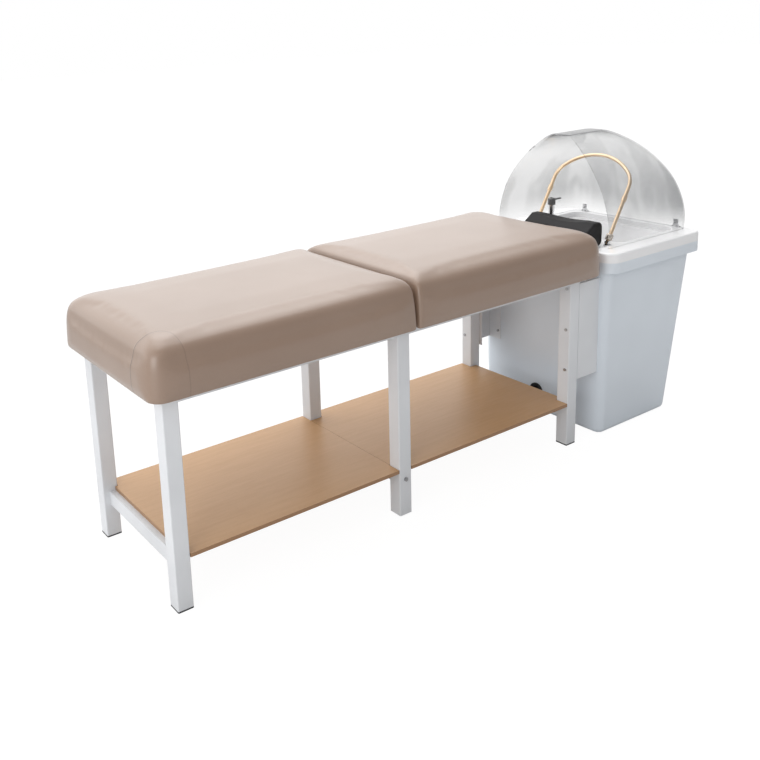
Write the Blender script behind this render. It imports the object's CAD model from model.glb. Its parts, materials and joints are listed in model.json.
"""Dresses the hair washing bed: cushions, boards, paint, tub, basin, arch, tap and clear hood.

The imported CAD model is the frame, so every new piece is placed by its node's own box. Lengths are in
metres. The foot end is at minus X, the wash tub at plus X, and the near side of the photo at minus Y.
"""

from __future__ import annotations

import json
import logging
import math
from dataclasses import dataclass, field
from enum import Enum
from typing import Any, Callable, Iterable

import bpy
from mathutils import Matrix, Vector

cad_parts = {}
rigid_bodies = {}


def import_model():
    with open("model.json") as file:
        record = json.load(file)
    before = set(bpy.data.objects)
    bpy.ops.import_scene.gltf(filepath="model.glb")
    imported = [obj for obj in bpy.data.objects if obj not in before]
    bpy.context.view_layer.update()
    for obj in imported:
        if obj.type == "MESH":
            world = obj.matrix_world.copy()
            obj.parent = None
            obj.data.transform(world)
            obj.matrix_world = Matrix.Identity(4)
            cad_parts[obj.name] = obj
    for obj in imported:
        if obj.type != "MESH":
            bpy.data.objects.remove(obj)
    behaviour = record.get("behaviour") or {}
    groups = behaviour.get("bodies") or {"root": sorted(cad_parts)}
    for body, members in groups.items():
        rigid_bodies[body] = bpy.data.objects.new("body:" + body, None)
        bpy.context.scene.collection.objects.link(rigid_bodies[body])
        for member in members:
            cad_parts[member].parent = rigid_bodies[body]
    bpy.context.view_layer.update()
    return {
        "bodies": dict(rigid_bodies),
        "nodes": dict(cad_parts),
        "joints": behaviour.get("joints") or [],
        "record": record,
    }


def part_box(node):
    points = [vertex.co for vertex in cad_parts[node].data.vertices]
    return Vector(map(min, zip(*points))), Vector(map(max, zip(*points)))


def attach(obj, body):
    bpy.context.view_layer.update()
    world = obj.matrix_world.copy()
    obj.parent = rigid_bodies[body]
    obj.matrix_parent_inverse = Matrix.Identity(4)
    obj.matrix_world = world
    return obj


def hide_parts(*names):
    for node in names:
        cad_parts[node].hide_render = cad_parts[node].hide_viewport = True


LOG = logging.getLogger("washing_bed")
SIDES = ("near", "far")
Colour = tuple[float, float, float]
Place = tuple[float, float, float]
Span = tuple[float, float]
MIDDLE: Span = (0.3, 0.7)
UPRIGHT: Span = (0.4, 0.8)
LOW_DETAIL = 2.0
MERGE_DISTANCE = 0.00002


def toned(colour: Colour, share: float) -> Colour:
    """Give a colour that is darker or paler by a share."""
    return tuple(part * share for part in colour)


class Signal:
    """One value inside a material, which Python's arithmetic turns into Math nodes."""

    def __init__(self, shader: "Shader", socket: bpy.types.NodeSocket | None) -> None:
        """Keep the socket and the shader that it belongs to."""
        self.shader = shader
        self.socket = socket

    def _math(self, operation: str, *values: Any) -> "Signal":
        """Give the result of a Math node with the given inputs, in order."""
        return self.shader.node("ShaderNodeMath", {"operation": operation}, dict(enumerate(values)))

    def __add__(self, other: Any) -> "Signal":
        """Add."""
        return self._math("ADD", self, other)

    def __radd__(self, other: Any) -> "Signal":
        """Add to a number."""
        return self._math("ADD", other, self)

    def __sub__(self, other: Any) -> "Signal":
        """Subtract."""
        return self._math("SUBTRACT", self, other)

    def __rsub__(self, other: Any) -> "Signal":
        """Subtract from a number."""
        return self._math("SUBTRACT", other, self)

    def __mul__(self, other: Any) -> "Signal":
        """Multiply."""
        return self._math("MULTIPLY", self, other)

    def __rmul__(self, other: Any) -> "Signal":
        """Multiply a number."""
        return self._math("MULTIPLY", other, self)

    def __truediv__(self, other: Any) -> "Signal":
        """Divide."""
        return self._math("DIVIDE", self, other)

    def __pow__(self, other: Any) -> "Signal":
        """Raise to a power."""
        return self._math("POWER", self, other)

    def __abs__(self) -> "Signal":
        """Take the size without its sign."""
        return self._math("ABSOLUTE", self)

    def least(self, other: Any) -> "Signal":
        """Take the smaller of two values."""
        return self._math("MINIMUM", self, other)

    def most(self, other: Any) -> "Signal":
        """Take the larger of two values."""
        return self._math("MAXIMUM", self, other)

    def ramp(self, low: float, high: float, start: float = 0.0, end: float = 1.0) -> "Signal":
        """Map a range smoothly onto another and clamp it.

        Args:
            low: the value that gives start.
            high: the value that gives end.
            start: the result at low.
            end: the result at high.

        Returns:
            The mapped value.
        """
        return self.shader.node(
            "ShaderNodeMapRange",
            {"interpolation_type": "SMOOTHSTEP"},
            {0: self, 1: low, 2: high, 3: start, 4: end},
        )


class Shader:
    """The nodes of a material or a world under construction, with one method that makes them all."""

    def __init__(self, owner: bpy.types.Material | bpy.types.World) -> None:
        """Start with an empty tree.

        Args:
            owner: the material or world that the nodes belong to.
        """
        self.owner = owner
        owner.use_nodes = True
        self.tree = owner.node_tree
        self.tree.nodes.clear()

    @classmethod
    def named(cls, name: str) -> "Shader":
        """Start a new material."""
        return cls(bpy.data.materials.new(name))

    def node(
        self,
        kind: str,
        settings: dict[str, Any] | None = None,
        inputs: dict[int | str, Any] | None = None,
        output: int | str = 0,
    ) -> Signal:
        """Make a node, set it up and link it.

        Args:
            kind: the node's type.
            settings: its attributes, set first.
            inputs: values or signals by socket name or number.
            output: the socket that is returned.

        Returns:
            The chosen output.
        """
        made = self.tree.nodes.new(kind)
        for key, value in (settings or {}).items():
            setattr(made, key, value)
        for key, value in (inputs or {}).items():
            socket = made.inputs[key]
            if isinstance(value, Signal):
                self.tree.links.new(value.socket, socket)
            else:
                socket.default_value = value
        return Signal(self, made.outputs[output] if made.outputs else None)

    def place(self, output: str = "Object") -> Signal:
        """Give the object's own coordinates."""
        return self.node("ShaderNodeTexCoord", output=output)

    def axes(self, source: Signal) -> tuple[Signal, ...]:
        """Split a vector into its three parts."""
        split = self.node("ShaderNodeSeparateXYZ", {}, {0: source}).socket.node
        return tuple(Signal(self, part) for part in split.outputs)

    def upright(self) -> Signal:
        """Give 1 where the surface stands upright and 0 where it lies flat."""
        normal = self.node("ShaderNodeNewGeometry", output="Normal")
        return abs(self.axes(normal)[2]).ramp(*UPRIGHT, 1.0, 0.0)

    def stretched(self, scale: Place) -> Signal:
        """Give object coordinates that are stretched for a pattern."""
        return self.node("ShaderNodeMapping", {}, {"Vector": self.place(), "Scale": scale})

    def noise(
        self, scale: float, detail: float = 3.0, where: Signal | None = None, rough: float = 0.5
    ) -> Signal:
        """Give a soft noise between 0 and 1, in the object's own coordinates unless told where."""
        inputs = {"Vector": where or self.place(), "Scale": scale, "Detail": detail, "Roughness": rough}
        return self.node("ShaderNodeTexNoise", {}, inputs, "Fac")

    def cells(self, scale: float, feature: str = "F1") -> Signal:
        """Give the distance of a cell pattern."""
        inputs = {"Vector": self.place(), "Scale": scale}
        return self.node("ShaderNodeTexVoronoi", {"feature": feature}, inputs, "Distance")

    def mix(self, factor: Any, first: Any, second: Any) -> Signal:
        """Mix two colours, each a plain colour or a signal, with a factor's share of the second."""
        first, second = (c if isinstance(c, Signal) else (*c, 1.0) for c in (first, second))
        return self.node("ShaderNodeMix", {"data_type": "RGBA"}, {0: factor, 6: first, 7: second}, 2)

    def bump(
        self, height: Signal, distance: float, strength: float = 1.0, under: Signal | None = None
    ) -> Signal:
        """Turn a height into a normal.

        Args:
            height: the pattern.
            distance: its height in metres.
            strength: how much of it shows.
            under: a bump that this one lies over, or none.

        Returns:
            The normal.
        """
        inputs: dict[int | str, Any] = {"Height": height, "Distance": distance, "Strength": strength}
        if under is not None:
            inputs["Normal"] = under
        return self.node("ShaderNodeBump", {}, inputs, "Normal")

    def surface(self, **sockets: Any) -> bpy.types.Material:
        """Finish the material with one main shader.

        Args:
            sockets: the shader's inputs, with underscores for spaces.

        Returns:
            The finished material.
        """
        inputs = {}
        for key, value in sockets.items():
            is_colour = isinstance(value, tuple) and len(value) == 3
            inputs[key.replace("_", " ")] = (*value, 1.0) if is_colour else value
        made = self.node("ShaderNodeBsdfPrincipled", {}, inputs)
        self.node("ShaderNodeOutputMaterial", {}, {"Surface": made})
        return self.owner


@dataclass(frozen=True)
class PaintedSteel:
    """White powder coat with a fine orange peel."""

    name: str = "powder_coat"
    colour: Colour = (0.75, 0.765, 0.79)
    worn_share: float = 0.93
    worn_scale: float = 5.0
    roughness: float = 0.36
    rough_shift: float = 0.08
    rough_scale: float = 40.0
    coat: float = 0.15
    peel_scale: float = 420.0
    peel_height: float = 0.00006

    def material(self) -> bpy.types.Material:
        """Build the finish.

        Returns:
            The new material.
        """
        shader = Shader.named(self.name)
        worn = shader.noise(self.worn_scale, LOW_DETAIL).ramp(*MIDDLE)
        peel = shader.noise(self.peel_scale, LOW_DETAIL)
        return shader.surface(
            Base_Color=shader.mix(worn, self.colour, toned(self.colour, self.worn_share)),
            Roughness=self.roughness + self.rough_shift * shader.noise(self.rough_scale),
            Coat_Weight=self.coat,
            Normal=shader.bump(peel, self.peel_height),
        )


@dataclass(frozen=True)
class CornerSeam:
    """The line where a cushion's corner patch is sewn in, a rounded block's outline round the corner."""

    corner: Place = (-1.200, -0.320, 0.650)
    reach: Place = (0.115, 0.120, 0.234)
    power: float = 4.0
    width: float = 0.0021
    ridge_share: float = 3.2
    fade: Place = (0.02, 0.10, 0.30)

    def line(self, shader: Shader) -> tuple[Signal, Signal]:
        """Give the seam's groove and the raised leather beside it, weaker on the long side.

        Args:
            shader: the material that gets the nodes.

        Returns:
            Two masks, 1 on the line and 1 beside it.
        """
        parts = shader.axes(shader.place())
        spans = [(part - middle) / reach for part, middle, reach in zip(parts, self.corner, self.reach)]
        block = sum(abs(span) ** self.power for span in spans) ** (1.0 / self.power)
        distance = abs(block - 1.0) * self.reach[0]
        start, end, least = self.fade
        strength = parts[0].ramp(self.corner[0] + start, self.corner[0] + end, 1.0, least)
        groove = distance.ramp(0.0, self.width, 1.0, 0.0) * strength
        ridge = distance.ramp(self.width, self.ridge_share * self.width, 1.0, 0.0) * strength
        return groove, ridge


@dataclass(frozen=True)
class Leather:
    """Beige upholstery leather with fine pebbles, soft folds and, where asked, a sewn corner patch."""

    name: str = "cushion_leather"
    colour: Colour = (0.305, 0.204, 0.146)
    deep: Colour = (0.275, 0.180, 0.126)
    tone_scale: float = 2.2
    tone_range: Span = (0.32, 0.68)
    pebble_scale: float = 620.0
    pebble_height: float = 0.00016
    pebble_strength: float = 0.8
    crease_scale_share: float = 0.55
    crease_height_share: float = 0.6
    crease_slope: float = 0.2
    crease_width: float = 0.12
    crease_tint: float = 0.22
    crease_dark: float = 0.72
    fold_scale: float = 9.0
    fold_height: float = 0.004
    fold_strength: float = 0.25
    roughness: float = 0.42
    rough_shift: float = 0.10
    specular: float = 0.6
    coat_roughness: float = 0.30
    seam: CornerSeam | None = None
    seam_tint: float = 0.95
    seam_dark: float = 0.2
    seam_height: float = 0.0014
    seam_ridge: float = 0.4
    seam_strength: float = 0.9

    def material(self) -> bpy.types.Material:
        """Build the finish.

        Returns:
            The new material.
        """
        shader = Shader.named(self.name)
        pebbles = shader.cells(self.pebble_scale, "SMOOTH_F1")
        creases = shader.cells(self.pebble_scale * self.crease_scale_share, "DISTANCE_TO_EDGE")
        soft = shader.noise(self.fold_scale)
        broad = shader.noise(self.tone_scale, LOW_DETAIL)
        tone = shader.mix(broad.ramp(*self.tone_range), self.colour, self.deep)
        lines = creases.ramp(0.0, self.crease_width, self.crease_tint, 0.0)
        tone = shader.mix(lines, tone, toned(self.deep, self.crease_dark))
        folds = shader.bump(soft, self.fold_height, self.fold_strength)
        height = pebbles + self.crease_height_share * creases.ramp(0.0, self.crease_slope)
        grain = shader.bump(height, self.pebble_height, self.pebble_strength, folds)
        if self.seam is not None:
            groove, ridge = self.seam.line(shader)
            tone = shader.mix(groove * self.seam_tint, tone, toned(self.deep, self.seam_dark))
            sewn = self.seam_ridge * ridge - groove
            grain = shader.bump(sewn, self.seam_height, self.seam_strength, grain)
        return shader.surface(
            Base_Color=tone,
            Roughness=self.roughness + self.rough_shift * soft,
            Specular_IOR_Level=self.specular,
            Coat_Weight=1.0,
            Coat_Roughness=self.coat_roughness,
            Normal=grain,
        )


@dataclass(frozen=True)
class LaminatedBoard:
    """A tan laminated board with a faint print of grain and a darker band round its edge."""

    name: str = "shelf_board"
    light: Colour = (0.60, 0.355, 0.172)
    dark: Colour = (0.565, 0.328, 0.155)
    edge: Colour = (0.34, 0.19, 0.095)
    stretch: Place = (1.2, 16.0, 16.0)
    grain_scale: float = 6.0
    grain_detail: float = 5.0
    grain_rough: float = 0.62
    fine_scale: float = 60.0
    fine_range: Span = (0.4, 0.75)
    fine_tint: float = 0.25
    fine_dark: float = 0.8
    fine_height: float = 0.0001
    fine_strength: float = 0.5
    roughness: float = 0.30
    rough_shift: float = 0.16
    coat: float = 0.12
    coat_roughness: float = 0.3

    def material(self) -> bpy.types.Material:
        """Build the finish.

        Returns:
            The new material.
        """
        shader = Shader.named(self.name)
        along = shader.stretched(self.stretch)
        grain = shader.noise(self.grain_scale, self.grain_detail, along, self.grain_rough)
        fine = shader.noise(self.fine_scale, where=along)
        tone = shader.mix(grain.ramp(*MIDDLE), self.light, self.dark)
        lines = fine.ramp(*self.fine_range, 0.0, self.fine_tint)
        tone = shader.mix(lines, tone, toned(self.dark, self.fine_dark))
        return shader.surface(
            Base_Color=shader.mix(shader.upright(), tone, self.edge),
            Roughness=self.roughness + self.rough_shift * grain,
            Coat_Weight=self.coat,
            Coat_Roughness=self.coat_roughness,
            Normal=shader.bump(fine, self.fine_height, self.fine_strength),
        )


@dataclass(frozen=True)
class Plywood:
    """Raw plywood with plies at its edge, for the cushion boards."""

    name: str = "plywood"
    light: Colour = (0.60, 0.44, 0.28)
    dark: Colour = (0.36, 0.24, 0.14)
    figure_share: float = 0.8
    stretch: Place = (1.0, 14.0, 14.0)
    grain_scale: float = 7.0
    grain_detail: float = 6.0
    grain_rough: float = 0.65
    grain_height: float = 0.0002
    grain_strength: float = 0.6
    ply_scale: float = 110.0
    ply_tint: float = 0.7
    roughness: float = 0.62
    rough_shift: float = 0.2

    def material(self) -> bpy.types.Material:
        """Build the finish.

        Returns:
            The new material.
        """
        shader = Shader.named(self.name)
        along = shader.stretched(self.stretch)
        grain = shader.noise(self.grain_scale, self.grain_detail, along, self.grain_rough)
        bands = {"Vector": shader.place(), "Scale": self.ply_scale}
        plies = shader.node("ShaderNodeTexWave", {"bands_direction": "Z"}, bands, "Fac")
        tone = shader.mix(grain.ramp(*MIDDLE), self.light, toned(self.light, self.figure_share))
        return shader.surface(
            Base_Color=shader.mix(shader.upright() * plies * self.ply_tint, tone, self.dark),
            Roughness=self.roughness + self.rough_shift * grain,
            Normal=shader.bump(grain, self.grain_height, self.grain_strength),
        )


@dataclass(frozen=True)
class MouldedPlastic:
    """Moulded plastic with a fine skin, a soft sink and a little dust in its tone."""

    name: str
    colour: Colour
    roughness: float = 0.3
    rough_shift: float = 0.1
    dust_share: float = 0.94
    dust_scale: float = 3.0
    skin_scale: float = 500.0
    skin_height: float = 0.00004
    skin_strength: float = 0.6
    sink_scale: float = 4.0
    sink_height: float = 0.0012
    sink_strength: float = 0.3
    coat: float = 0.2
    coat_roughness: float = 0.1

    def material(self) -> bpy.types.Material:
        """Build the finish.

        Returns:
            The new material.
        """
        shader = Shader.named(self.name)
        broad = shader.noise(self.dust_scale, LOW_DETAIL)
        skin = shader.noise(self.skin_scale, LOW_DETAIL)
        sink = shader.bump(shader.noise(self.sink_scale, 1.0), self.sink_height, self.sink_strength)
        return shader.surface(
            Base_Color=shader.mix(broad.ramp(*MIDDLE), self.colour, toned(self.colour, self.dust_share)),
            Roughness=self.roughness + self.rough_shift * broad,
            Coat_Weight=self.coat,
            Coat_Roughness=self.coat_roughness,
            Normal=shader.bump(skin, self.skin_height, self.skin_strength, sink),
        )


@dataclass(frozen=True)
class ClearPlastic:
    """Clear moulded plastic: a thin veil face on, dense and dark where it is seen edge on."""

    name: str = "clear_hood"
    colour: Colour = (0.30, 0.31, 0.32)
    pale: Colour = (0.62, 0.63, 0.64)
    edge: Colour = (0.06, 0.062, 0.066)
    face_on: float = 0.05
    veil: float = 0.19
    deeper: float = 0.35
    patch: float = 0.13
    edge_on: float = 0.86
    densest: float = 0.92
    band: Place = (0.715, 0.84, 1.11)
    band_top: float = 0.35
    head_half: Span = (0.80, 1.12)
    blend: float = 0.32
    rim_range: Span = (0.44, 0.78)
    streak_stretch: Place = (1.0, 1.6, 0.45)
    streak_scale: float = 5.5
    streak_range: Span = (0.42, 0.62)
    roughness: float = 0.04
    rough_shift: float = 0.05
    specular: float = 0.2
    wave_scale: float = 3.0
    wave_height: float = 0.002
    wave_strength: float = 0.3

    def material(self) -> bpy.types.Material:
        """Build the finish.

        Returns:
            The new material.
        """
        shader = Shader.named(self.name)
        facing = shader.node("ShaderNodeLayerWeight", {}, {"Blend": self.blend}, "Facing")
        along, _, height = shader.axes(shader.place())
        low, middle, high = self.band
        veil = height.ramp(low, middle) * height.ramp(middle, high, 1.0, self.band_top)
        veil = veil * along.ramp(*self.head_half, 1.0, 1.0 + self.deeper)
        streaks = shader.noise(self.streak_scale, LOW_DETAIL, shader.stretched(self.streak_stretch))
        patches = streaks.ramp(*self.streak_range, -0.5, 0.5)
        face_on = self.face_on + veil * (self.veil + self.patch * patches)
        rim = facing.ramp(*self.rim_range)
        alpha = face_on + rim * (self.edge_on - self.face_on)
        tone = shader.mix(patches.most(0.0), self.colour, self.pale)
        waves = shader.noise(self.wave_scale, 1.0)
        return shader.surface(
            Base_Color=shader.mix(rim, tone, self.edge),
            Roughness=self.roughness + self.rough_shift * streaks,
            Specular_IOR_Level=self.specular,
            Alpha=alpha.least(self.densest),
            Normal=shader.bump(waves, self.wave_height, self.wave_strength),
        )


@dataclass(frozen=True)
class Metal:
    """Bare metal with fine marks along it and a tone that shifts a little."""

    name: str
    colour: Colour
    roughness: float = 0.16
    marks: float = 0.10
    marks_scale: float = 180.0
    marks_stretch: Place = (1.0, 1.0, 0.08)
    marks_height: float = 0.00003
    marks_strength: float = 0.4
    dull_scale: float = 20.0
    dull_range: Span = (0.35, 0.7)
    dull_share: float = 0.86

    def material(self) -> bpy.types.Material:
        """Build the finish.

        Returns:
            The new material.
        """
        shader = Shader.named(self.name)
        scratch = shader.noise(self.marks_scale, where=shader.stretched(self.marks_stretch))
        dull = shader.noise(self.dull_scale, LOW_DETAIL).ramp(*self.dull_range)
        return shader.surface(
            Base_Color=shader.mix(dull, self.colour, toned(self.colour, self.dull_share)),
            Metallic=1.0,
            Roughness=self.roughness + self.marks * scratch,
            Normal=shader.bump(scratch, self.marks_height, self.marks_strength),
        )


@dataclass(frozen=True)
class Rubber:
    """Soft dark rubber with a fine matt skin."""

    name: str
    colour: Colour
    roughness: float = 0.52
    rough_shift: float = 0.15
    dust_scale: float = 12.0
    dust_share: float = 1.5
    specular: float = 0.25
    pore_scale: float = 900.0
    pore_height: float = 0.0001
    pore_strength: float = 0.5

    def material(self) -> bpy.types.Material:
        """Build the finish.

        Returns:
            The new material.
        """
        shader = Shader.named(self.name)
        pores = shader.cells(self.pore_scale)
        dust = shader.noise(self.dust_scale, LOW_DETAIL)
        return shader.surface(
            Base_Color=shader.mix(dust.ramp(*MIDDLE), self.colour, toned(self.colour, self.dust_share)),
            Roughness=self.roughness + self.rough_shift * dust,
            Specular_IOR_Level=self.specular,
            Normal=shader.bump(pores, self.pore_height, self.pore_strength),
        )


class Finish(Enum):
    """Every finish on the bed, by the name of its slot in the record."""

    POWDER_COAT = PaintedSteel()
    FOOT_PLASTIC = MouldedPlastic("foot_plastic", (0.035, 0.035, 0.038), 0.5, coat=0.0)
    SHELF_BOARD = LaminatedBoard()
    PLYWOOD = Plywood()
    LEATHER = Leather()
    LEATHER_SEWN = Leather(name="cushion_leather_sewn", seam=CornerSeam())
    FASTENER = Metal("steel_fastener", (0.46, 0.46, 0.47), 0.30)
    TUB = MouldedPlastic("tub_plastic", (0.735, 0.79, 0.85), 0.30)
    BASIN = MouldedPlastic("basin_plastic", (0.92, 0.92, 0.93), 0.18, coat=0.35)
    CHROME = Metal("chrome_trim", (0.80, 0.80, 0.81), 0.07, 0.05)
    DRAIN_PLASTIC = MouldedPlastic("drain_plastic", (0.66, 0.66, 0.66), 0.4)
    WASTE_PLASTIC = MouldedPlastic("waste_plastic", (0.030, 0.030, 0.032), 0.5, coat=0.0)
    GROMMET = Rubber("grommet_rubber", (0.012, 0.012, 0.012))
    STRAINER = Metal("strainer_steel", (0.62, 0.62, 0.63), 0.2)
    NECK_RUBBER = Rubber("neck_rubber", (0.016, 0.015, 0.016), 0.55)
    ARCH_GOLD = Metal("arch_gold", (0.95, 0.71, 0.47), 0.26, 0.06)
    ARCH_NUT = Metal("arch_nut_metal", (0.78, 0.70, 0.62), 0.22)
    TAP_DARK = MouldedPlastic("tap_black", (0.09, 0.09, 0.095), 0.28, coat=0.4)
    CLEAR_HOOD = ClearPlastic()


class Wardrobe:
    """Makes each finish once and puts it on nodes and pieces."""

    def __init__(self, frame: dict[str, Any]) -> None:
        """Keep the frame and an empty store of materials."""
        self.nodes: dict[str, bpy.types.Object] = frame["nodes"]
        self.made: dict[Finish, bpy.types.Material] = {}

    def material(self, finish: Finish) -> bpy.types.Material:
        """Give a finish's material, making it the first time.

        Args:
            finish: the finish.

        Returns:
            Its material.
        """
        if finish not in self.made:
            self.made[finish] = finish.value.material()
        return self.made[finish]

    def wear(self, piece: bpy.types.Object, finish: Finish) -> None:
        """Put a finish on every slot of a piece.

        Args:
            piece: the object.
            finish: the finish.
        """
        if not piece.material_slots:
            piece.data.materials.append(self.material(finish))
        for slot in piece.material_slots:
            slot.material = self.material(finish)

    def dress(self, finish: Finish, *names: str) -> None:
        """Put a finish on CAD nodes.

        Args:
            finish: the finish.
            names: the nodes' names, each with or without its near and far pair.
        """
        for name in names:
            for node in self.pair(name):
                self.wear(self.nodes[node], finish)

    def pair(self, name: str) -> list[str]:
        """Give a node's name, or those of its near and far pair."""
        return [name] if name in self.nodes else [f"{name}_{side}" for side in SIDES]


class Bench:
    """The mesh tools that the sub-assemblies share."""

    @staticmethod
    def only(piece: bpy.types.Object) -> None:
        """Select one object and make it active.

        Args:
            piece: the object.
        """
        bpy.ops.object.select_all(action="DESELECT")
        piece.select_set(True)
        bpy.context.view_layer.objects.active = piece

    @classmethod
    def copy_of(cls, node: bpy.types.Object, name: str) -> bpy.types.Object:
        """Copy a CAD node's mesh as a piece of its own, with its doubled points merged.

        Args:
            node: the CAD node.
            name: the piece's name.

        Returns:
            The piece.
        """
        piece = bpy.data.objects.new(name, node.data.copy())
        bpy.context.scene.collection.objects.link(piece)
        piece.data.materials.clear()
        cls.edit(piece, lambda: bpy.ops.mesh.remove_doubles(threshold=MERGE_DISTANCE))
        return piece

    @classmethod
    def edit(cls, piece: bpy.types.Object, *steps: Callable[[], Any]) -> None:
        """Run edit-mode steps on a piece with all of it selected."""
        cls.edit_selected(piece, lambda: bpy.ops.mesh.select_all(action="SELECT"), *steps)

    @classmethod
    def modify(cls, piece: bpy.types.Object, kind: str, **settings: Any) -> None:
        """Add a modifier and apply it.

        Args:
            piece: the object.
            kind: the modifier's type.
            settings: its attributes.
        """
        cls.only(piece)
        modifier = piece.modifiers.new(kind.title(), kind)
        for key, value in settings.items():
            setattr(modifier, key, value)
        bpy.ops.object.modifier_apply(modifier=modifier.name)

    @classmethod
    def smooth(cls, piece: bpy.types.Object, degrees: float = 35.0) -> None:
        """Shade a piece smooth up to an angle."""
        cls.only(piece)
        bpy.ops.object.shade_smooth_by_angle(angle=math.radians(degrees), keep_sharp_edges=False)

    @classmethod
    def settle(cls, piece: bpy.types.Object) -> None:
        """Move a piece's place into its mesh."""
        cls.only(piece)
        bpy.ops.object.transform_apply(location=True, rotation=True, scale=True)

    @classmethod
    def faces_where(cls, piece: bpy.types.Object, test: Callable[[bpy.types.MeshPolygon], bool]) -> None:
        """Select the faces that pass a test, and nothing else.

        Args:
            piece: the object.
            test: tells whether a face is wanted.
        """
        cls.only(piece)
        bpy.ops.object.mode_set(mode="EDIT")
        bpy.ops.mesh.select_all(action="DESELECT")
        bpy.ops.mesh.select_mode(type="FACE")
        bpy.ops.object.mode_set(mode="OBJECT")
        for face in piece.data.polygons:
            face.select = bool(test(face))

    @classmethod
    def edit_selected(cls, piece: bpy.types.Object, *steps: Callable[[], Any]) -> None:
        """Run edit-mode steps on what is already selected.

        Args:
            piece: the object.
            steps: what is run, in order.
        """
        cls.only(piece)
        bpy.ops.object.mode_set(mode="EDIT")
        for step in steps:
            step()
        bpy.ops.object.mode_set(mode="OBJECT")


@dataclass
class BedFrame:
    """Legs, top frame, cross bars, caps and bolts, and the shelf boards on them."""

    wardrobe: Wardrobe
    rows: tuple[str, ...] = ("foot", "mid", "head")

    def dress(self) -> None:
        """Give every steel and board node its finish."""
        legs = [f"leg_{row}" for row in self.rows]
        bars = [f"lower_bar_{row}" for row in self.rows]
        self.wardrobe.dress(Finish.POWDER_COAT, "top_frame", "tub_channel", *legs, *bars)
        self.wardrobe.dress(Finish.FOOT_PLASTIC, "foot_cap_foot", "foot_cap_head")
        self.wardrobe.dress(Finish.SHELF_BOARD, "shelf_foot", "shelf_head")
        self.wardrobe.dress(
            Finish.FASTENER, "mid_leg_bolts", "board_screws", "leg_channel_bolts", "tub_channel_bolts"
        )
        LOG.info("bed frame dressed")


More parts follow.
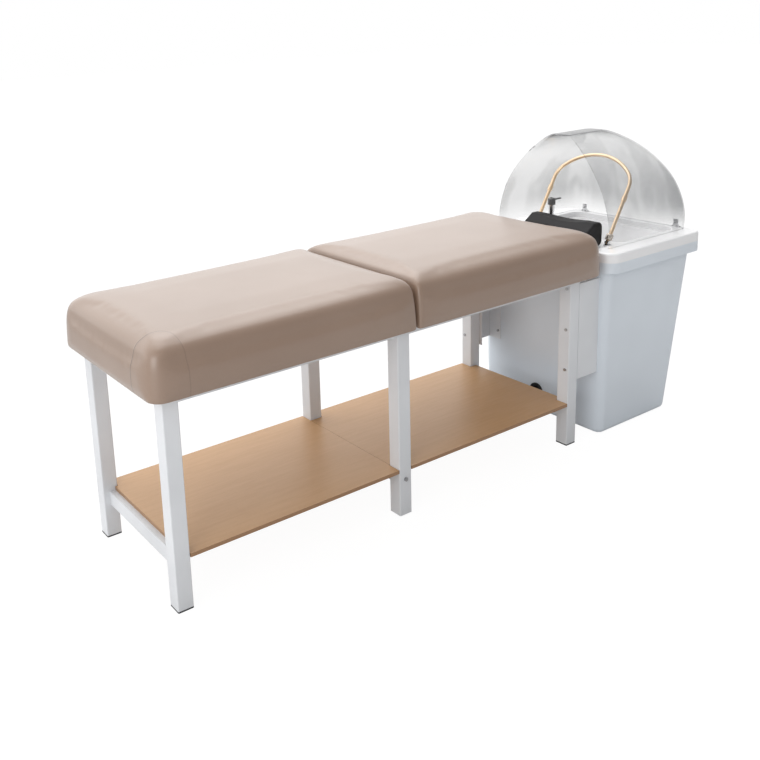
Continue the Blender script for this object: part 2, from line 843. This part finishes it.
@dataclass
class Cushions:
    """The two upholstered cushions, swollen by a cloth simulation inside their CAD solids."""

    wardrobe: Wardrobe
    facing_down: float = -0.9
    level_slack: float = 0.001
    voxel: float = 0.006
    smooth_factor: float = 0.5
    early_rounds: int = 18
    late_rounds: int = 14
    soft_height: float = 0.060
    least_soft: float = 0.15
    start_inset: float = 0.003
    pressure: float = 4.0
    stiffness: float = 25.0
    bending_stiffness: float = 10.0
    quality: int = 3
    swell_cap: float = 0.0045
    last_frame: int = 20
    held_height: float = 0.012
    rebate: float = 0.020
    wrap_under: float = 0.002
    board_inset: float = 0.012
    shading_degrees: float = 60.0
    finishes: dict[str, Finish] = field(
        default_factory=lambda: {"foot": Finish.LEATHER_SEWN, "head": Finish.LEATHER}
    )

    def build(self) -> None:
        """Make both cushions."""
        for end, finish in self.finishes.items():
            node = self.wardrobe.nodes[f"cushion_{end}"]
            piece = Bench.copy_of(node, f"cushion_cover_{end}")
            self._close_underside(piece)
            Bench.modify(piece, "REMESH", mode="VOXEL", voxel_size=self.voxel, use_smooth_shade=True)
            self._soften(piece, self.early_rounds)
            Bench.edit(piece, lambda: bpy.ops.transform.shrink_fatten(value=-self.start_inset))
            self._swell(piece)
            self._soften(piece, self.late_rounds)
            self._seat(piece, f"cushion_{end}")
            Bench.smooth(piece, self.shading_degrees)
            self.wardrobe.wear(piece, finish)
            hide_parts(f"cushion_{end}")
            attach(piece, "bed")
            self._board(end)
            LOG.info("cushion %s: %d faces", end, len(piece.data.polygons))

    def _close_underside(self, piece: bpy.types.Object) -> None:
        """Lower the ceiling of the board's rebate, so that the cover is one closed pad.

        Args:
            piece: the cover.
        """
        base = min(vertex.co.z for vertex in piece.data.vertices)
        lowest, highest = base + self.level_slack, base + self.rebate
        ceilings = [
            face
            for face in piece.data.polygons
            if face.normal.z < self.facing_down and lowest < face.center.z < highest
        ]
        for index in {index for face in ceilings for index in face.vertices}:
            piece.data.vertices[index].co.z = base

    def _board(self, end: str) -> None:
        """Make a cushion's board a little smaller than its solid, so that the leather hides its edge.

        Args:
            end: the cushion's end of the bed.
        """
        name = f"cushion_board_{end}"
        low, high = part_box(name)
        shares = [1.0 - 2.0 * self.board_inset / (high[axis] - low[axis]) for axis in range(2)]
        board = Bench.copy_of(self.wardrobe.nodes[name], f"wrapped_board_{end}")
        Bench.edit(
            board,
            lambda: bpy.ops.transform.resize(value=(*shares, 1.0), center_override=(low + high) / 2),
        )
        Bench.smooth(board)
        self.wardrobe.wear(board, Finish.PLYWOOD)
        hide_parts(name)
        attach(board, "bed")

    def _soften(self, piece: bpy.types.Object, rounds: int) -> None:
        """Smooth a cushion, fully above a height and less towards its underside.

        Args:
            piece: the cover.
            rounds: how many times it is smoothed.
        """
        base = min(vertex.co.z for vertex in piece.data.vertices)
        soft = piece.vertex_groups.new(name="soft")
        for vertex in piece.data.vertices:
            weight = (vertex.co.z - base) / self.soft_height
            soft.add((vertex.index,), min(max(weight, self.least_soft), 1.0), "REPLACE")
        Bench.modify(
            piece, "SMOOTH", factor=self.smooth_factor, iterations=rounds, vertex_group=soft.name
        )
        piece.vertex_groups.clear()

    def _swell(self, piece: bpy.types.Object) -> None:
        """Blow a cushion up as cloth, hold its underside and cap how far each point moves.

        Args:
            piece: the cover.
        """
        rest = [vertex.co.copy() for vertex in piece.data.vertices]
        base = min(point.z for point in rest)
        held = piece.vertex_groups.new(name="held")
        low = [index for index, point in enumerate(rest) if point.z < base + self.held_height]
        held.add(low, 1.0, "REPLACE")
        cloth = piece.modifiers.new("Swell", "CLOTH")
        cloth.settings.vertex_group_mass = held.name
        cloth.settings.use_pressure = True
        cloth.settings.uniform_pressure_force = self.pressure
        cloth.settings.tension_stiffness = self.stiffness
        cloth.settings.compression_stiffness = self.stiffness
        cloth.settings.bending_stiffness = self.bending_stiffness
        cloth.settings.quality = self.quality
        cloth.settings.effector_weights.gravity = 0.0
        cloth.collision_settings.use_collision = False
        cloth.point_cache.frame_end = self.last_frame
        for frame in range(1, self.last_frame + 1):
            bpy.context.scene.frame_set(frame)
        graph = bpy.context.evaluated_depsgraph_get()
        swollen = [vertex.co.copy() for vertex in piece.evaluated_get(graph).data.vertices]
        piece.modifiers.remove(cloth)
        piece.vertex_groups.clear()
        bpy.context.scene.frame_set(1)
        for vertex, start, end in zip(piece.data.vertices, rest, swollen):
            step = end - start
            if step.length > self.swell_cap:
                step.length = self.swell_cap
            vertex.co = start + step

    def _seat(self, piece: bpy.types.Object, node: str) -> None:
        """Stretch a cushion to its CAD solid's box, with its leather turned just under the board.

        Args:
            piece: the cover.
            node: the CAD solid's name.
        """
        low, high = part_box(node)
        low.z -= self.wrap_under
        points = [vertex.co for vertex in piece.data.vertices]
        for axis in range(3):
            start, end = min(p[axis] for p in points), max(p[axis] for p in points)
            stretch = (high[axis] - low[axis]) / (end - start)
            for point in points:
                point[axis] = low[axis] + (point[axis] - start) * stretch


@dataclass
class WashTub:
    """The tub, its basin, drain, waste pipe and grommet."""

    wardrobe: Wardrobe

    def dress(self) -> None:
        """Give every node of the tub its finish."""
        self.wardrobe.dress(Finish.TUB, "tub")
        self.wardrobe.dress(Finish.BASIN, "basin")
        self.wardrobe.dress(Finish.CHROME, "drain_tail")
        self.wardrobe.dress(Finish.DRAIN_PLASTIC, "drain_nut")
        self.wardrobe.dress(Finish.WASTE_PLASTIC, "waste_pipe")
        self.wardrobe.dress(Finish.GROMMET, "grommet")
        self.wardrobe.dress(Finish.STRAINER, "hair_strainer")
        self.wardrobe.dress(Finish.NECK_RUBBER, "neck_rest")
        LOG.info("wash tub dressed")


@dataclass
class WaterArch:
    """The arch with its knurled nuts, and the tap beside it."""

    wardrobe: Wardrobe
    lean: float = math.radians(30.5)
    nut_sides: int = 36
    nut_radius: float = 0.0128
    nut_height: float = 0.022
    rib_inset: float = 0.0005
    rib_height: float = 0.0007
    face_inset: float = 0.002
    face_height: float = 0.0008
    bevel: float = 0.00025
    bevel_steps: int = 2
    shading_degrees: float = 40.0

    def build(self) -> None:
        """Dress the arch and make its nuts."""
        self.wardrobe.dress(Finish.ARCH_GOLD, "arch_rod", "arch_union", "spray_tube")
        self.wardrobe.dress(Finish.CHROME, "arch_base", "arch_pin", "tap_column", "tap_lever_pin")
        self.wardrobe.dress(Finish.TAP_DARK, "tap_dome", "tap_lever")
        for side in SIDES:
            self._nut(side)
        LOG.info("water arch built")

    def _nut(self, side: str) -> None:
        """Model a knurled nut in place of its plain CAD solid.

        Args:
            side: the arch's side.
        """
        low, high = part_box(f"arch_nut_{side}")
        bpy.ops.object.select_all(action="DESELECT")
        bpy.ops.mesh.primitive_cylinder_add(
            vertices=self.nut_sides,
            radius=self.nut_radius,
            depth=self.nut_height,
            location=(low + high) / 2,
            rotation=(0, self.lean, 0),
        )
        nut = bpy.context.object
        nut.name = f"knurled_nut_{side}"
        count = self.nut_sides
        ribs = [f for f in nut.data.polygons if len(f.vertices) == 4]
        order = {f.index: round(math.atan2(f.center.y, f.center.x) / math.tau * count) for f in ribs}
        Bench.faces_where(nut, lambda face: face.index in order and order[face.index] % 2 == 0)
        Bench.edit_selected(
            nut,
            lambda: bpy.ops.mesh.inset(thickness=self.rib_inset, use_individual=True),
            lambda: bpy.ops.transform.shrink_fatten(value=self.rib_height),
        )
        Bench.faces_where(nut, lambda face: len(face.vertices) > 4)
        Bench.edit_selected(
            nut,
            lambda: bpy.ops.mesh.inset(thickness=self.face_inset),
            lambda: bpy.ops.transform.shrink_fatten(value=self.face_height),
        )
        Bench.modify(nut, "BEVEL", width=self.bevel, segments=self.bevel_steps, limit_method="ANGLE")
        Bench.settle(nut)
        Bench.smooth(nut, self.shading_degrees)
        self.wardrobe.wear(nut, Finish.ARCH_NUT)
        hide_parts(f"arch_nut_{side}")
        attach(nut, "arch")


@dataclass
class Hood:
    """The clear hood, smooth and thin, with its hinges."""

    wardrobe: Wardrobe
    shading_degrees: float = 30.0

    def build(self) -> None:
        """Dress the hood and its fittings."""
        self.wardrobe.dress(Finish.CHROME, "hinge_base", "hinge_leaf", "hinge_pin")
        self.wardrobe.dress(Finish.FASTENER, "hinge_base_screws", "hinge_leaf_screws")
        piece = Bench.copy_of(self.wardrobe.nodes["hood"], "hood_shell")
        Bench.smooth(piece, self.shading_degrees)
        Bench.modify(piece, "WEIGHTED_NORMAL", keep_sharp=True)
        self.wardrobe.wear(piece, Finish.CLEAR_HOOD)
        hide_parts("hood")
        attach(piece, "hood")
        LOG.info("hood built")


@dataclass(frozen=True)
class SoftBox:
    """A square soft lamp that is aimed at the bed."""

    name: str
    place: Place
    size: float
    power: float


@dataclass
class Studio:
    """Plain pale floor, soft light and the camera at the photo's angle."""

    focal: float = 908.2
    frame_side: float = 760.0
    azimuth: float = -0.57114
    elevation: float = 0.23532
    roll: float = -0.05051
    centre: Span = (270.0, 240.0)
    eye: Place = (-2.0972, -2.3141, 1.5977)
    sensor: float = 36.0
    clip: Span = (0.05, 200.0)
    floor_size: float = 60.0
    floor_drop: float = 0.0005
    floor_matt: Colour = (0.69, 0.69, 0.69)
    white: Colour = (1.0, 1.0, 1.0)
    floor_glow: float = 1.10
    floor_glow_share: float = 0.86
    front: float = 0.34
    above: float = 0.18
    above_range: Span = (-0.1, 0.9)
    foot: float = 0.16
    foot_range: Span = (0.9, -0.9)
    behind: float = 0.98
    behind_range: Span = (-0.5, 0.9)
    lamp_aim: Place = (0.0, 0.0, 0.6)
    lamps: tuple[SoftBox, ...] = (
        SoftBox("soft_top", (0.2, 0.9, 3.2), 3.0, 42.0),
        SoftBox("soft_foot", (-3.9, -1.9, 1.7), 2.2, 46.0),
    )

    def build(self) -> None:
        """Make the floor, the light and the camera."""
        self._floor()
        self._world()
        self._lamps()
        self._camera()
        LOG.info("studio built")

    def _floor(self) -> None:
        """Lay a wide floor that shows white and keeps a faint shadow."""
        bpy.ops.object.select_all(action="DESELECT")
        bpy.ops.mesh.primitive_plane_add(size=self.floor_size, location=(0, 0, -self.floor_drop))
        floor = bpy.context.object
        floor.name = "floor"
        shader = Shader.named("floor_white")
        seen = shader.node("ShaderNodeLightPath", output="Is Camera Ray")
        matt = shader.node("ShaderNodeBsdfDiffuse", {}, {"Color": (*self.floor_matt, 1.0)})
        light = {"Color": (*self.white, 1.0), "Strength": self.floor_glow}
        glow = shader.node("ShaderNodeEmission", {}, light)
        share = seen * self.floor_glow_share
        mixed = shader.node("ShaderNodeMixShader", {}, {0: share, 1: matt, 2: glow})
        shader.node("ShaderNodeOutputMaterial", {}, {"Surface": mixed})
        floor.data.materials.append(shader.owner)

    def _world(self) -> None:
        """Light from all round, brighter from behind, above and the foot end, white to the camera."""
        world = bpy.data.worlds.new("studio")
        bpy.context.scene.world = world
        shader = Shader(world)
        x, y, z = shader.axes(shader.place("Generated"))
        level = self.front + self.above * z.ramp(*self.above_range)
        level = level + self.foot * x.ramp(*self.foot_range) + self.behind * y.ramp(*self.behind_range)
        camera = shader.node("ShaderNodeLightPath", output="Is Camera Ray")
        through = shader.node("ShaderNodeLightPath", output="Is Transmission Ray")
        mixed = {0: camera.most(through), 2: level, 3: 1.0}
        strength = shader.node("ShaderNodeMix", {"data_type": "FLOAT"}, mixed)
        light = {"Color": (*self.white, 1.0), "Strength": strength}
        back = shader.node("ShaderNodeBackground", {}, light)
        shader.node("ShaderNodeOutputWorld", {}, {"Surface": back})

    def _lamps(self) -> None:
        """Hang the soft boxes."""
        for box in self.lamps:
            lamp = bpy.data.lights.new(box.name, "AREA")
            lamp.shape = "SQUARE"
            lamp.size = box.size
            lamp.energy = box.power
            holder = bpy.data.objects.new(box.name, lamp)
            bpy.context.scene.collection.objects.link(holder)
            holder.location = box.place
            aim = Vector(self.lamp_aim) - Vector(box.place)
            holder.rotation_euler = aim.to_track_quat("-Z", "Y").to_euler()

    def _camera(self) -> None:
        """Stand the camera where the photo was taken from."""
        ca, sa = math.cos(self.azimuth), math.sin(self.azimuth)
        ce, se = math.cos(self.elevation), math.sin(self.elevation)
        back = Vector((sa * ce, -ca * ce, se))
        right = Vector((ca, sa, 0.0))
        up = back.cross(right)
        cr, sr = math.cos(self.roll), math.sin(self.roll)
        level_right = cr * right + sr * up
        level_up = cr * up - sr * right
        data = bpy.data.cameras.new("camera")
        data.sensor_width = self.sensor
        data.lens = self.focal / self.frame_side * data.sensor_width
        data.shift_x = (self.frame_side / 2 - self.centre[0]) / self.frame_side
        data.shift_y = (self.centre[1] - self.frame_side / 2) / self.frame_side
        data.clip_start, data.clip_end = self.clip
        camera = bpy.data.objects.new("camera", data)
        bpy.context.scene.collection.objects.link(camera)
        turn = Matrix((level_right, level_up, back)).transposed().to_4x4()
        camera.matrix_world = Matrix.Translation(self.eye) @ turn
        bpy.context.scene.camera = camera
        bpy.context.scene.view_settings.view_transform = "Standard"


def main() -> None:
    """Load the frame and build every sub-assembly."""
    logging.basicConfig(level=logging.INFO, format="%(name)s: %(message)s")
    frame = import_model()
    wardrobe = Wardrobe(frame)
    Studio().build()
    BedFrame(wardrobe).dress()
    Cushions(wardrobe).build()
    WashTub(wardrobe).dress()
    WaterArch(wardrobe).build()
    Hood(wardrobe).build()


if __name__ == "__main__":
    main()
